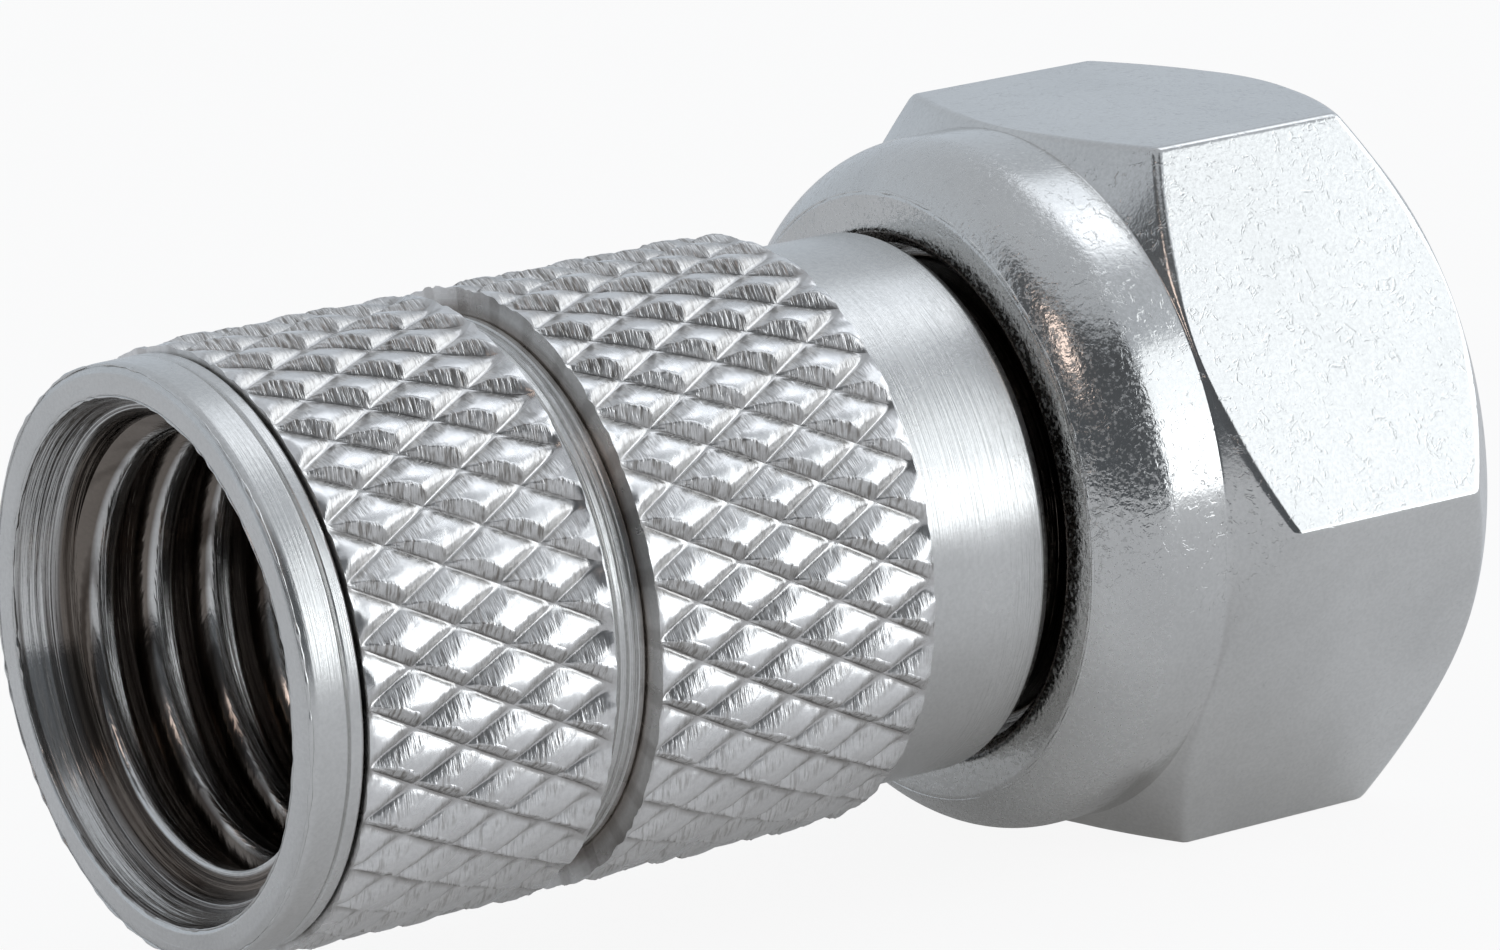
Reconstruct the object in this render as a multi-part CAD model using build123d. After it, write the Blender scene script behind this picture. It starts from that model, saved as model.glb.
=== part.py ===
from build123d import *
import math
import os

# Screw-on coaxial F plug: a knurled sleeve that grips the cable, and a hexagonal coupling nut
# that turns freely on it. The axis is X. The nut's open end points to +X and the cable leaves
# to -X. The origin is on the axis, in the flange face that meets the socket. Millimetres.

# Lengths along the sleeve, from the cable end to the flange
RIM_LENGTH = 0.95
BAND_1_LENGTH = 4.2
GROOVE_WIDTH = 0.8
BAND_2_LENGTH = 4.95
NECK_LENGTH = 2.4
FLANGE_THICKNESS = 1.0

# Outside of the sleeve
KNURL_RADIUS = 4.61
RIM_DROP = 0.15
RIM_ROUND = 0.16
NECK_EDGE = 0.06
FLANGE_WIDTH = 0.95
FLANGE_EDGE = 0.12

# Fine line turned into the rim
RIM_LINE_PLACE = 0.62
RIM_LINE_WIDTH = 0.08
RIM_LINE_DEPTH = 0.07

# Fine ridges turned into the bottom of the groove between the bands
RIDGE_COUNT = 3
RIDGE_DEPTH = 0.04

# Diamond knurl: two crossing sets of V grooves. The flat on a pyramid's top is a fraction of
# the pitch, and so is the top's lean towards the cable, which makes that side the steep one.
KNURL_STARTS = 31
KNURL_ANGLE = 29.4
KNURL_DEPTH = 0.2
KNURL_FLAT = 0.26
KNURL_LEAN = 0.2
KNURL_END_DROP = 0.1

# How far what lies beside a knurled band is turned below the roots of the knurl
RIM_STEP = 0.23
RIM_STEP_LENGTH = 0.12
GROOVE_STEP = 0.23
NECK_STEP = 0.19

# Inside of the sleeve. The thread's ridge starts at a turn of so many degrees from +Y.
SOCKET_WALL = 0.66
MOUTH_EDGE = 0.12
MOUTH_LENGTH = 1.0
MOUTH_STEP = 0.2
CABLE_THREAD_HEIGHT = 0.3
CABLE_THREAD_PITCH = 1.02
CABLE_THREAD_LENGTH = 7.2
CABLE_THREAD_BASE = 0.78
CABLE_THREAD_CREST = 0.22
CABLE_THREAD_TURN = 105
SOCKET_DEPTH = 9.3
CORE_RADIUS = 2.45
CORE_EDGE = 0.15

# Outside of the nut
ACROSS_FLATS = 11.0
NUT_LENGTH = 7.15
HEX_CORNER_ROUND = 0.14
REAR_FACE_WIDTH = 0.79
DOME_LENGTH = 1.27
BARREL_RADIUS = 5.45
BARREL_LENGTH = 0.83
REAR_CONE_ANGLE = 54.0
FRONT_CONE_ANGLE = 45.0
FRONT_FACE_INSET = 0.06

# Inside of the nut
BARREL_WALL = 0.7
LIP_THICKNESS = 0.65
LIP_EDGE = 0.22
PORT_THREAD_MINOR_RADIUS = 4.38
PORT_THREAD_MAJOR_RADIUS = 4.763
THREAD_LEAD_IN = 0.1
RELIEF_LENGTH = 0.35

# Clearances between the nut and the sleeve
SHOULDER_GAP = 0.3
LIP_GAP = 0.25
CAVITY_CLEARANCE = 0.2
LIP_CLEARANCE = 0.35

# How far the thread's ridge reaches into the wall that carries it
WELD = 0.1

# How far the plain bar inside a knurled band lies below the roots of the knurl
CORE_BAR_STEP = 0.33

# Radii of the sleeve that follow from the knurl
ROOT_RADIUS = KNURL_RADIUS - KNURL_DEPTH
CORE_BAR_RADIUS = ROOT_RADIUS - CORE_BAR_STEP
RIM_RADIUS = KNURL_RADIUS - RIM_DROP
NECK_RADIUS = ROOT_RADIUS - NECK_STEP
GROOVE_RADIUS = ROOT_RADIUS - GROOVE_STEP
MOUTH_RADIUS = ROOT_RADIUS - SOCKET_WALL
THREAD_ROOT_RADIUS = MOUTH_RADIUS - MOUTH_STEP
THREAD_CREST_RADIUS = THREAD_ROOT_RADIUS - CABLE_THREAD_HEIGHT

# Radii that follow from the nut's barrel, from its cavity in to the spigot and the lip on it
CAVITY_RADIUS = BARREL_RADIUS - BARREL_WALL
FLANGE_RADIUS = CAVITY_RADIUS - CAVITY_CLEARANCE
SPIGOT_RADIUS = FLANGE_RADIUS - FLANGE_WIDTH
LIP_RADIUS = SPIGOT_RADIUS + LIP_CLEARANCE
REAR_FACE_RADIUS = LIP_RADIUS + REAR_FACE_WIDTH

# Places along the axis
SPIGOT_LENGTH = SHOULDER_GAP + LIP_THICKNESS + LIP_GAP
FLANGE_BACK = -FLANGE_THICKNESS
NECK_END = FLANGE_BACK - SPIGOT_LENGTH
BAND_2_END = NECK_END - NECK_LENGTH
BAND_2_START = BAND_2_END - BAND_2_LENGTH
BAND_1_END = BAND_2_START - GROOVE_WIDTH
BAND_1_START = BAND_1_END - BAND_1_LENGTH
CABLE_END = BAND_1_START - RIM_LENGTH
THREAD_START = CABLE_END + MOUTH_LENGTH
SOCKET_END = CABLE_END + SOCKET_DEPTH
NUT_BACK = NECK_END + SHOULDER_GAP
NUT_FRONT = NUT_BACK + NUT_LENGTH
BARREL_START = NUT_BACK + DOME_LENGTH
BARREL_END = BARREL_START + BARREL_LENGTH
CAVITY_START = NUT_BACK + LIP_THICKNESS
CAVITY_END = RELIEF_LENGTH
CORNER_RADIUS = ACROSS_FLATS / 2 / math.cos(math.radians(30))


def turned(*edges):
    """The solid swept round the X axis by a closed outline of (x, radius)."""
    return revolve(make_face(Curve() + list(edges)), Axis.X)


def on_cylinder(x, turn, radius):
    """A point at a distance along the axis and an angle round it."""
    return Vector(x, radius * math.cos(turn), radius * math.sin(turn))


def knurled_band(start, length, start_hole, end_hole):
    """The skin of a band of diamond knurl: rows of blunt four-sided pyramids between two sets
    of crossing V grooves. Its flat ends cut through the middle of a row, and each end has a
    round hole of the radius of what stands there. The end towards the nut is dulled."""
    step = 2 * math.pi / KNURL_STARTS
    natural_row = KNURL_RADIUS * step / 2 / math.tan(math.radians(KNURL_ANGLE))
    rows = max(2, round(length / natural_row))
    row = length / rows

    def turn_of(k, j):
        return (j + 0.5 * (k % 2)) * step

    def crossing(k, turn):
        """The corner where two grooves cross, at the root radius."""
        return on_cylinder(start + k * row, turn, ROOT_RADIUS)

    def top(k, turn):
        """A corner of the small flat on a pyramid's top, which leans except in an end row."""
        lean = KNURL_LEAN if 0 < k < rows else 0
        radius = KNURL_RADIUS - (KNURL_END_DROP if k == rows else 0)
        return on_cylinder(start + (k - lean) * row, turn + lean * step / 2, radius)

    def pyramid(k, turn):
        """The faces of one pyramid, or of the half that is left of it in an end row."""
        above, below = crossing(k, turn + step / 2), crossing(k, turn - step / 2)
        top_above, top_below = top(k, turn + KNURL_FLAT * step / 2), top(k, turn - KNURL_FLAT * step / 2)
        faces = []
        for side in (-1, 1):
            if 0 <= k + side <= rows:
                tip, top_tip = crossing(k + side, turn), top(k + side * KNURL_FLAT, turn)
                faces += [
                    (above, tip, top_above),
                    (tip, top_tip, top_above),
                    (below, tip, top_below),
                    (tip, top_tip, top_below),
                    (top_above, top_tip, top_below),
                ]
        return [Face(Wire.make_polygon(corners)) for corners in faces]

    def end(k, hole):
        """The flat end of the band, from its round hole out to the cut pyramids."""
        outline = []
        for j in range(KNURL_STARTS):
            turn = turn_of(k, j)
            outline.append(crossing(k, turn - step / 2))
            outline.append(top(k, turn - KNURL_FLAT * step / 2))
            outline.append(top(k, turn + KNURL_FLAT * step / 2))
        plane = Plane(origin=(start + k * row, 0, 0), x_dir=(0, 1, 0), z_dir=(1, 0, 0))
        return Face(Wire.make_polygon(outline), [Wire.make_circle(hole, plane)])

    faces = [end(0, start_hole), end(rows, end_hole)]
    for k in range(rows + 1):
        for j in range(KNURL_STARTS):
            faces += pyramid(k, turn_of(k, j))
    return faces


def sleeve_outline():
    """The turned outside of the sleeve as one bar, with a plain core where the knurl goes."""
    line = CABLE_END + RIM_LINE_PLACE
    rim_top = (CABLE_END + RIM_ROUND, RIM_RADIUS)
    face_edge = (CABLE_END, RIM_RADIUS - RIM_ROUND)
    return turned(
        Polyline((CABLE_END, 0), face_edge),
        TangentArc(rim_top, face_edge, tangent=(-1, 0)),
        Polyline(
            rim_top,
            (line, RIM_RADIUS),
            (line + RIM_LINE_WIDTH / 2, RIM_RADIUS - RIM_LINE_DEPTH),
            (line + RIM_LINE_WIDTH, RIM_RADIUS),
            (BAND_1_START - RIM_STEP_LENGTH, RIM_RADIUS),
            (BAND_1_START, ROOT_RADIUS - RIM_STEP),
            (BAND_1_START, CORE_BAR_RADIUS),
            (BAND_1_END, CORE_BAR_RADIUS),
            *groove_bottom(),
            (BAND_2_START, CORE_BAR_RADIUS),
            (BAND_2_END, CORE_BAR_RADIUS),
            (BAND_2_END, NECK_RADIUS),
            (NECK_END - NECK_EDGE, NECK_RADIUS),
            (NECK_END, NECK_RADIUS - NECK_EDGE),
            (NECK_END, SPIGOT_RADIUS),
            (FLANGE_BACK, SPIGOT_RADIUS),
            (FLANGE_BACK, FLANGE_RADIUS - FLANGE_EDGE),
            (FLANGE_BACK + FLANGE_EDGE, FLANGE_RADIUS),
            (-FLANGE_EDGE, FLANGE_RADIUS),
            (0, FLANGE_RADIUS - FLANGE_EDGE),
            (0, 0),
            (CABLE_END, 0),
        ),
    )


def groove_bottom():
    """Points of the fine ridges in the groove between the knurled bands."""
    pitch = GROOVE_WIDTH / RIDGE_COUNT
    points = []
    for k in range(RIDGE_COUNT):
        points.append((BAND_1_END + k * pitch, GROOVE_RADIUS - RIDGE_DEPTH))
        points.append((BAND_1_END + (k + 0.5) * pitch, GROOVE_RADIUS))
    points.append((BAND_2_START, GROOVE_RADIUS - RIDGE_DEPTH))
    return points


def sleeve_bore():
    """What is bored out of the sleeve: the cable socket and the smaller hole for the core."""
    return turned(
        Polyline(
            (CABLE_END, 0),
            (CABLE_END, MOUTH_RADIUS + MOUTH_EDGE),
            (CABLE_END + MOUTH_EDGE, MOUTH_RADIUS),
            (THREAD_START, MOUTH_RADIUS),
            (THREAD_START, THREAD_ROOT_RADIUS),
            (SOCKET_END, THREAD_ROOT_RADIUS),
            (SOCKET_END, CORE_RADIUS + CORE_EDGE),
            (SOCKET_END + CORE_EDGE, CORE_RADIUS),
            (0, CORE_RADIUS),
            (0, 0),
            (CABLE_END, 0),
        )
    )


def cable_thread():
    """The ridge of the coarse thread that cuts into the cable's jacket. It starts ahead of the
    socket's step and is cut off flush with it, so that it comes up out of the step."""
    path = Helix(
        CABLE_THREAD_PITCH, CABLE_THREAD_LENGTH + CABLE_THREAD_BASE, THREAD_CREST_RADIUS,
        center=(THREAD_START - CABLE_THREAD_BASE / 2, 0, 0), direction=(1, 0, 0),
    )
    begin = path @ 0
    outward = Vector(0, begin.Y, begin.Z).normalized()
    section_plane = Plane(origin=begin, x_dir=outward, z_dir=path % 0)
    flank = (CABLE_THREAD_BASE - CABLE_THREAD_CREST) / 2
    weld_base = CABLE_THREAD_BASE + 2 * flank * WELD / CABLE_THREAD_HEIGHT
    top = CABLE_THREAD_CREST / 2
    reach = CABLE_THREAD_HEIGHT + WELD
    section = Polyline((0, -top), (0, top), (reach, weld_base / 2), (reach, -weld_base / 2), (0, -top))
    ridge = sweep(section_plane * make_face(section), path, is_frenet=True)
    turn_to_start = CABLE_THREAD_TURN - math.degrees(math.atan2(begin.Z, begin.Y))
    step = Plane(origin=(THREAD_START, 0, 0), z_dir=(1, 0, 0))
    return split(Rotation(turn_to_start, 0, 0) * ridge, step, keep=Keep.TOP)


def is_under_knurl(face):
    """Whether a face of the plain bar is one that a knurled band takes the place of."""
    box = face.bounding_box()
    near = 0.001
    outside = box.max.Y > CORE_BAR_RADIUS - near
    for start, end in ((BAND_1_START, BAND_1_END), (BAND_2_START, BAND_2_END)):
        if outside and box.min.X > start - near and box.max.X < end + near:
            return True
    return False


def sleeve_body():
    """The whole sleeve, one turned and knurled piece."""
    bar = sleeve_outline() - sleeve_bore() + cable_thread()
    groove_edge = GROOVE_RADIUS - RIDGE_DEPTH
    skin = [face for face in bar.faces() if not is_under_knurl(face)]
    skin += knurled_band(BAND_1_START, BAND_1_LENGTH, ROOT_RADIUS - RIM_STEP, groove_edge)
    skin += knurled_band(BAND_2_START, BAND_2_LENGTH, groove_edge, NECK_RADIUS)
    return Solid(Shell(skin))


def nut_outline():
    """The outside of the nut: a domed barrel that runs out into a chamfered hexagon."""
    rear_cone = (CORNER_RADIUS - BARREL_RADIUS) / math.tan(math.radians(REAR_CONE_ANGLE))
    face_radius = ACROSS_FLATS / 2 - FRONT_FACE_INSET
    front_cone = (CORNER_RADIUS - face_radius) * math.tan(math.radians(FRONT_CONE_ANGLE))
    dome_foot = (NUT_BACK, REAR_FACE_RADIUS)
    dome_top = (BARREL_START, BARREL_RADIUS)
    blank = turned(
        Polyline((NUT_BACK, 0), dome_foot),
        TangentArc(dome_top, dome_foot, tangent=(-1, 0)),
        Polyline(
            dome_top,
            (BARREL_END, BARREL_RADIUS),
            (BARREL_END + rear_cone, CORNER_RADIUS),
            (NUT_FRONT - front_cone, CORNER_RADIUS),
            (NUT_FRONT, face_radius),
            (NUT_FRONT, 0),
            (NUT_BACK, 0),
        ),
    )
    section = RegularPolygon(CORNER_RADIUS, 6)
    section = fillet(section.vertices(), HEX_CORNER_ROUND)
    prism = extrude(Plane.YZ.offset(NUT_BACK) * section, NUT_LENGTH)
    return blank & prism


def nut_bore():
    """What is bored out of the nut: the lip's hole, the flange's cavity and the thread's core."""
    lead_in = PORT_THREAD_MAJOR_RADIUS + THREAD_LEAD_IN
    return turned(
        Polyline(
            (NUT_BACK, 0),
            (NUT_BACK, LIP_RADIUS + LIP_EDGE),
            (NUT_BACK + LIP_EDGE, LIP_RADIUS),
            (CAVITY_START, LIP_RADIUS),
            (CAVITY_START, CAVITY_RADIUS),
            (CAVITY_END, CAVITY_RADIUS),
            (CAVITY_END + CAVITY_RADIUS - PORT_THREAD_MINOR_RADIUS, PORT_THREAD_MINOR_RADIUS),
            (NUT_FRONT - lead_in + PORT_THREAD_MINOR_RADIUS, PORT_THREAD_MINOR_RADIUS),
            (NUT_FRONT, lead_in),
            (NUT_FRONT, 0),
            (NUT_BACK, 0),
        )
    )


def coupling_nut():
    """The hexagonal nut, one piece with its rolled-in lip."""
    return nut_outline() - nut_bore()


os.makedirs("parts", exist_ok=True)
for name, shape in {"sleeve_body": sleeve_body(), "coupling_nut": coupling_nut()}.items():
    export_step(shape, f"parts/{name}.step")
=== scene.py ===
import math
import bmesh
import bpy
import numpy as np
from mathutils import Matrix, Vector


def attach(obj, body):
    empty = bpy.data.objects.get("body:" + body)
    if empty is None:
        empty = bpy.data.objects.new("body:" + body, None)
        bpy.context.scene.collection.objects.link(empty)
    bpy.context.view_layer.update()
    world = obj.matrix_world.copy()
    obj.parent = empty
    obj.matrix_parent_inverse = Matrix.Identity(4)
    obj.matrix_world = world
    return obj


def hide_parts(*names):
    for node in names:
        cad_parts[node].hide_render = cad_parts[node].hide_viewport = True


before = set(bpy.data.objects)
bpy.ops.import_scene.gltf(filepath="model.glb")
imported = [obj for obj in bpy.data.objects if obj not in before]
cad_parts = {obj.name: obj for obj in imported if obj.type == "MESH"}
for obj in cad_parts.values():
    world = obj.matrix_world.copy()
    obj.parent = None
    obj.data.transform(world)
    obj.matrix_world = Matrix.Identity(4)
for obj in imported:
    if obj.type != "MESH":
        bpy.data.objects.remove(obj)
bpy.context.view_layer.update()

# The looks of a screw-on coaxial F plug: a knurled sleeve and the hexagonal coupling nut that
# turns on it. The axis is X, the nut's open end points to +X, and the flange face inside the
# nut is at 0. Sizes below are in millimetres, as on the solids, and MM turns them into metres.
# An edge is how far a corner is cut back on both of its runs before it is rounded over.
MM = 0.001
TAU = 2 * math.pi

# Edges that turning leaves
HAIR_EDGE = 0.01
CRISP_EDGE = 0.02
PLAIN_EDGE = 0.03
BLUNT_EDGE = 0.04
SOFT_EDGE = 0.05
BEVEL_SEGMENTS = 3
BEVEL_SHARE = 0.42
BEVEL_SUPPORT = 0.035
BEVEL_SUPPORT_SHARE = 0.05

# Sleeve, outside
RIM_LENGTH = 0.95
BAND_1_LENGTH = 4.2
GROOVE_WIDTH = 0.8
BAND_2_LENGTH = 4.95
NECK_LENGTH = 2.4
FLANGE_THICKNESS = 1.0
SPIGOT_LENGTH = 1.2
RIM_RADIUS = 4.46
RIM_ROUND = 0.16
RIM_LINE_PLACE = 0.62
RIM_LINE_WIDTH = 0.08
RIM_LINE_DEPTH = 0.07
RIM_LINE_EDGE = 0.015
RIM_STEP_LENGTH = 0.05
RIM_STEP_FOOT = 0.02
ROOT_RADIUS = 4.41
STEP_RADIUS = 4.34
GROOVE_RADIUS = 4.18
RIDGE_COUNT = 5
RIDGE_DEPTH = 0.045
RIDGE_GAP = 0.06
RIDGE_EDGE = 0.012
RIDGE_VALLEY_EDGE = 0.005
BAR_RADIUS = 4.12
BAR_START = 0.1
NECK_RADIUS = 4.22
NECK_CHAMFER = (0.18, 0.1)
SPIGOT_RADIUS = 3.6
FLANGE_RADIUS = 4.55
FLANGE_EDGE = 0.12

# Sleeve, inside
MOUTH_OUTER_RADIUS = 3.96
MOUTH_INNER_RADIUS = 3.76
MOUTH_EDGE = 0.05
MOUTH_CONE_LENGTH = 0.55
MOUTH_STEP = 0.06
MOUTH_LENGTH = 0.85
SOCKET_DEPTH = 9.3
SOCKET_EDGE = 0.1
CORE_RADIUS = 2.45
CORE_EDGE = 0.15
CABLE_THREAD = {"root": 3.55, "crest": 3.25, "base": 0.78, "top": 0.22, "pitch": 1.02, "length": 7.98}
CABLE_THREAD_TURN = math.radians(105)

# Dents in the rim: how deep they are, over what distance from the cable's end they fade, beyond
# which radius they lie, and their number round the rim and their length
DENT_DEPTH = 0.012
DENT_REACH = (0.7, 1.2)
DENT_RADIUS = 4.0
DENT_CELLS = (19, 0.6)

# Beaded burrs on turned edges: their beads, fine and coarse, and how far in from the rim's
# radius and out from the nut's rear face two of them stand
BURR_RADIUS = 0.038
BURR_BEADS = (150, 37)
RIM_BURR_INSET = 0.03
LIP_BURR_OUTSET = 0.04

# Diamond knurl: its net, and how the scales are shaped, as shares of a scale
KNURL_RADIUS = 4.61
KNURL_STARTS = 31
BAND_1_ROWS = 5
BAND_2_ROWS = 6
SCALE_CELLS = 22
SCALE_SIZES = (0.9, 1.0)
SCALE_LEAN = 0.09
SCALE_FULLNESS = 2.8
SCALE_SWELL = 0.75
RIDGE_PLACE = 0.47
CLIFF_CELLS = 8
CLIFF_WIDTH = 0.22
CLIFF_CHIPS = 0.03
SCALE_TOP_GAP = 0.002

# Across a scale, from 0 in its middle to -0.5 and 0.5 at its edges: over what distance it gets
# torn on its two sides and how much, and over what distance painted shade darkens it towards
# the grooves, and how much
TORN_BELOW = (0.08, 0.2)
TORN_ABOVE = (0.16, 0.3)
TORN_FLANKS = (0.55, 0.45)
DARK_BELOW = (0.4, 0.46)
DARK_ABOVE = (0.22, 0.32)
VALLEY_SHARE = 0.4

# Noise on the knurl: cells for each start round the band, the length of a cell in rows, and how
# much of a scale's height it takes or adds
CHIPS = {"round": 2, "length": 0.09, "height": 0.05}
CRUMBS = {"round": 9, "length": 0.055, "height": 0.09}
LUMPS = {"round": 2, "length": 0.4, "height": 0.06}

# Ends of a knurled band: over what length the grooves run out, and how ragged the edge is
BAND_FADES = (0.07, 0.12)
BAND_RAGGED = 0.22
BAND_RAGGED_CELLS = (170, 0.5)
BAND_SINK = 0.04

# Nut
ACROSS_FLATS = 11.0
NUT_LENGTH = 7.15
NUT_BACK = -1.9
HEX_CORNER_ROUND = 0.14
HEX_REAR_EDGE = 0.09
HEX_FRONT_EDGE = 0.1
HEX_CORNER_CROWDING = 0.82
REAR_FACE_RADIUS = 4.74
DOME_LENGTH = 1.27
BARREL_RADIUS = 5.45
BARREL_LENGTH = 0.83
REAR_CONE_ANGLE = 54.0
FRONT_CONE_ANGLE = 45.0
FRONT_FACE_INSET = 0.06
LIP_RADIUS = 3.95
LIP_THICKNESS = 0.65
LIP_EDGE = 0.22
CAVITY_RADIUS = 4.75
CAVITY_EDGE = 0.004
RELIEF_LENGTH = 0.35
RELIEF_STEP = 0.01
PORT_THREAD = {"root": 4.763, "crest": 4.38, "base": 0.7, "top": 0.1, "pitch": 0.79375, "length": 4.0}
THREAD_LEAD_IN = 0.1

# Places along the axis
FLANGE_BACK = -FLANGE_THICKNESS
NECK_END = FLANGE_BACK - SPIGOT_LENGTH
BAND_2_END = NECK_END - NECK_LENGTH
BAND_2_START = BAND_2_END - BAND_2_LENGTH
BAND_1_END = BAND_2_START - GROOVE_WIDTH
BAND_1_START = BAND_1_END - BAND_1_LENGTH
CABLE_END = BAND_1_START - RIM_LENGTH
THREAD_START = CABLE_END + MOUTH_LENGTH
SOCKET_END = CABLE_END + SOCKET_DEPTH
NUT_FRONT = NUT_BACK + NUT_LENGTH
BARREL_START = NUT_BACK + DOME_LENGTH
BARREL_END = BARREL_START + BARREL_LENGTH
CAVITY_START = NUT_BACK + LIP_THICKNESS

# Colour of the plate, where it is turned and where it is knurled, the knurled one lighter as
# painted light, and what multiplies it where it is clouded or grained, as painted shade on torn
# metal, in its cracks, at a scale's foot, below the scales and between the thread's crests, and
# where it is streaked
TURNED_TONE = (0.72, 0.715, 0.7)
KNURLED_PAINTED_LIGHT_TONE = (0.86, 0.85, 0.84)
CLOUD_SHADE = 0.9
GRAIN_SHADE = (0.93, 0.93, 0.93)
TORN_PAINTED_SHADE = (0.76, 0.75, 0.73)
TORN_SHARE = 0.3
CRACK_PAINTED_SHADE = (0.5, 0.48, 0.46)
FOOT_PAINTED_SHADE = (0.5, 0.48, 0.46)
LOW_PAINTED_SHADE = (0.56, 0.52, 0.49)
THREAD_PAINTED_SHADE = (0.3, 0.26, 0.23)
STREAK_SHADE = (0.36, 0.34, 0.33)

# Noise in the metal: its waves to the metre, and for marks drawn out round the axis, its waves
# along the axis, round it and out from it
GRAIN_WAVES = 16000.0
CLOUD_WAVES = 420.0
DIMPLE_WAVES = 9000.0
PIT_WAVES = 4600.0
SPOT_WAVES = 16000.0
TURNING_WAVES = (22000, 1.6, 22000)
HATCH_WAVES = (19000, 14, 900)
STREAK_WAVES = (12000, 0.3, 12000)
BORING_WAVES = (15000, 0.4, 15000)

# Between which levels of its noise each look comes in
CLOUD_RANGE = (0.32, 0.62)
GRAIN_RANGE = (0.6, 0.4)
DULL_RANGE = (0.3, 0.7)
PIT_RANGE = (0.35, 0.42)
SPOT_RANGE = (0.52, 0.66)
CRACK_RANGE = (0.5, 0.36)
STREAK_RANGE = (0.52, 0.4)

# How deep the marks of peening, pitting, tearing and boring are. Off the dome, past a short
# fade, a share of the peening's depth is left.
DIMPLE_DEPTH = 0.009
DIMPLE_FADE = 0.25
DIMPLES_OFF_DOME = 0.3
PIT_DEPTH = 0.0025
HATCH_DEPTH = 0.035
BORING_DEPTH = 0.022

# What is added to the roughness as the clouds go from low to high, in matt spots, on torn metal
# and in the bore
CLOUD_DULLNESS = (-0.05, 0.07)
SPOT_DULLNESS = 0.34
TORN_DULLNESS = 0.12
BORE_DULLNESS = -0.08

# Distances from the axis over which a look begins: the painted shade below the scales, the bore,
# and the brown painted shade of the thread's valleys, which ends again towards the thread's crests
LOW_FADE = (ROOT_RADIUS - 0.01, GROOVE_RADIUS + 0.05)
BORE_FADE = (4.0, 3.95)
THREAD_SHADE_FADE = (3.68, 3.64)
CREST_FADE = (3.3, 3.36)

# The studio's grey-blue wall: its colour below and above, and how far up the change goes on
WALL_BELOW = (0.6, 0.66, 0.73)
WALL_ABOVE = (0.52, 0.55, 0.59)
WALL_CHANGE = 0.9

# The studio's dark side, where the photographer stands: between two azimuths and two heights, in
# degrees, how soft its edges are, and how much of the light is left there
DARK_SIDE_AZIMUTHS = (-195, -66)
DARK_SIDE_HEIGHTS = (-3, 54)
DARK_SIDE_SOFTNESS = 4
DARK_SIDE_LEVEL = 0.18

# The bright part of the ceiling: towards where, over how many degrees it fades, and how much
# brighter it is
CEILING_TOWARDS = (0.58, 0.155, 0.8)
CEILING_REACH = (8, 22)
CEILING_LEVEL = 2.3

# Soft boxes: how far away they stand, in metres, and for each towards where, its width and
# height in metres, its brightness and its tint
LAMP_DISTANCE = 0.4
LAMPS = {
    "right_box": ((0.604, -0.647, 0.465), 0.27, 0.14, 0.9, (0.96, 1.0, 1.02)),
    "low_box": ((0.675, -0.724, 0.139), 0.26, 0.145, 1.95, (0.97, 1.0, 1.02)),
    "side_box": ((0.937, -0.148, 0.317), 0.27, 0.3, 1.25, (0.97, 1.0, 1.02)),
    "top_box": ((0.571, 0.05, 0.819), 0.1, 0.06, 0.55, (1, 1, 1)),
    "warm_box": ((-0.75, -0.3, 0.59), 0.09, 0.1, 1.8, (1.0, 0.8, 0.7)),
}

# Floor, just under the nut's lowest flat: how much white it shows to the eye and in metal
FLOOR_GAP = 0.01
FLOOR_HEIGHT = -ACROSS_FLATS / 2 - FLOOR_GAP
FLOOR_HALF = 1500.0
FLOOR_COLOUR = (0.85, 0.85, 0.86, 1)
FLOOR_SEEN = 0.91
FLOOR_MIRRORED = 0.14

# Camera: its place, where it looks, how far it leans, its lens and sensor, and how near and far
# it sees, in metres
CAMERA_PLACE = Vector((-74.93, -104.01, 31.78)) * MM
CAMERA_LOOK = Vector((0.5431, 0.8049, -0.2392))
CAMERA_ROLL = math.radians(3.08)
CAMERA_LENS = 203.5
CAMERA_SENSOR = 36.0
CAMERA_RANGE = (0.01, 10.0)


def ramp(value, low, high):
    """From 0 at low to 1 at high, and level beyond."""
    return np.clip((value - low) / (high - low), 0, 1)


def smooth_noise(turn, x, cells_round, cell_length, seed):
    """Noise from -1 to 1 over the surface of a cylinder, without a seam round it."""
    rows = int(np.ptp(x) / cell_length) + 3
    table = np.random.default_rng(seed).uniform(-1, 1, (rows, cells_round))
    u = (turn / TAU * cells_round) % cells_round
    v = (x - x.min()) / cell_length
    u0 = np.floor(u).astype(int)
    v0 = np.floor(v).astype(int)
    fu = u - u0
    fv = v - v0
    fu = fu * fu * (3 - 2 * fu)
    fv = fv * fv * (3 - 2 * fv)
    u0 = u0 % cells_round
    u1 = (u0 + 1) % cells_round
    near = table[v0, u0] * (1 - fu) + table[v0, u1] * fu
    far = table[v0 + 1, u0] * (1 - fu) + table[v0 + 1, u1] * fu
    return near * (1 - fv) + far * fv


def net_object(name, x, radius, turn, quads):
    """A smooth mesh from points on turned surfaces and the faces between them."""
    points = np.stack([x, radius * np.cos(turn), radius * np.sin(turn)], axis=-1) * MM
    mesh = bpy.data.meshes.new(name)
    mesh.from_pydata(points.reshape(-1, 3), [], quads)
    mesh.shade_smooth()
    piece = bpy.data.objects.new(name, mesh)
    bpy.context.scene.collection.objects.link(piece)
    return piece


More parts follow.
